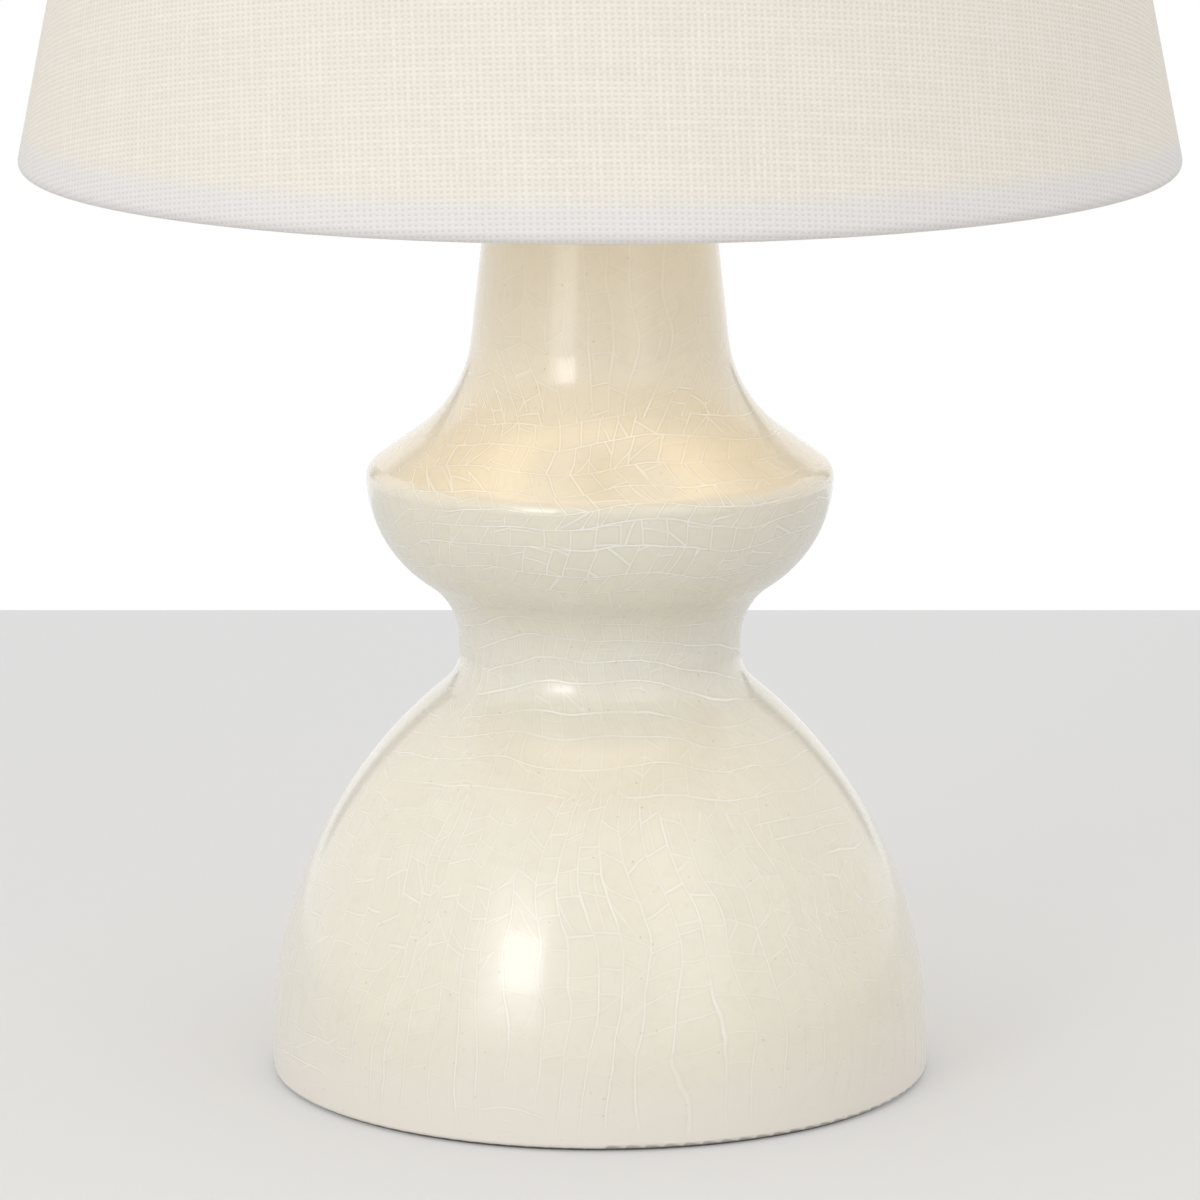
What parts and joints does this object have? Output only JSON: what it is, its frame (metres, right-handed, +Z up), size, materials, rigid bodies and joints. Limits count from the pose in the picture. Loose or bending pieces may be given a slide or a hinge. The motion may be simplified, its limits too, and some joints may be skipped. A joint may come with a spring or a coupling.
{
  "type": "cordless table lamp",
  "caption": "Cordless table lamp: turned ivory crackle-glaze stoneware body with a battery foot, and a tapered linen drum shade on a harp with a ball finial.",
  "frame": {"origin": "on the table under the middle of the foot", "axes": "+Z up along the lamp's axis, -Y to the front (the pictured side), +Y to the charge port, +X to the right"},
  "size_m": [0.2276, 0.2276, 0.3586],
  "materials": {
    "crackle_glaze": "ivory crackle glaze, gloss",
    "linen": "coarse off-white linen weave",
    "white_liner": "matt white translucent film",
    "felt": "dark wool felt",
    "brass": "satin",
    "zinc_steel": "zinc plated",
    "aluminium": "matt",
    "black_plastic": "fine matt",
    "ivory_plastic": "satin",
    "clear_plastic": "frosted clear",
    "cell_wrap": "shrink sleeve",
    "circuit_board": "solder mask",
    "white_board": "white solder mask",
    "phosphor": "silicone",
    "opal": "opal, lit from inside",
    "lead_sleeve": "soft",
    "black_rubber": "soft"
  },
  "bodies": {
    "base": {"ceramic_body": "crackle_glaze", "felt_pad": "felt", "base_plate": "zinc_steel", "base_washer": "zinc_steel", "base_nut": "zinc_steel", "lamp_pipe": "zinc_steel", "battery_tray": "black_plastic", "battery_cells": "cell_wrap", "cell_links": "zinc_steel", "battery_cover": "black_plastic", "tray_screws": "zinc_steel", "control_board": "circuit_board", "board_components": "black_plastic", "board_screws": "zinc_steel", "charge_bezel": "ivory_plastic", "charge_socket": "zinc_steel", "charge_port_nut": "black_plastic", "charge_light": "clear_plastic", "charge_lead": "lead_sleeve", "lamp_lead": "lead_sleeve", "neck_gasket": "black_rubber", "neck_cap": "brass", "neck_nut": "brass", "harp_saddle": "brass", "lamp_cup": "brass", "lamp_cup_nut": "zinc_steel", "dimmer_control": "black_plastic", "dimmer_nut": "brass", "heat_sink": "aluminium", "led_board": "white_board", "led_chips": "phosphor", "led_screws": "zinc_steel", "diffuser_globe": "opal"},
    "dimmer": {"dimmer_shaft": "aluminium", "dimmer_knob": "black_plastic"},
    "harp": {"harp_wire": "brass", "harp_stud": "brass"},
    "sleeve_left": {"harp_sleeve_left": "brass"},
    "sleeve_right": {"harp_sleeve_right": "brass"},
    "shade": {"shade_fabric": "linen", "shade_liner": "white_liner", "shade_spider": "brass", "shade_lower_ring": "zinc_steel"},
    "finial": {"finial": "brass"}
  },
  "joints": [
    {"name": "dimmer_turn", "type": "hinge", "parent": "base", "child": "dimmer", "pos_m": [0, -0.0226, 0.22392], "axis": [0, 1, 0], "range_deg": [-180, 90]},
    {"name": "harp_lift", "type": "slide", "parent": "base", "child": "harp", "axis": [0, 0, 1], "range_m": [0, 0.16]},
    {"name": "sleeve_left_lift", "type": "slide", "parent": "harp", "child": "sleeve_left", "axis": [0, 0, 1], "range_m": [0, 0.012]},
    {"name": "sleeve_right_lift", "type": "slide", "parent": "harp", "child": "sleeve_right", "axis": [0, 0, 1], "range_m": [0, 0.012]},
    {"name": "shade_turn", "type": "hinge", "parent": "harp", "child": "shade", "pos_m": [0, 0, 0.33391], "axis": [0, 0, 1], "continuous": true},
    {"name": "finial_turn", "type": "hinge", "parent": "harp", "child": "finial", "pos_m": [0, 0, 0.33551], "axis": [0, 0, 1], "continuous": true}
  ]
}
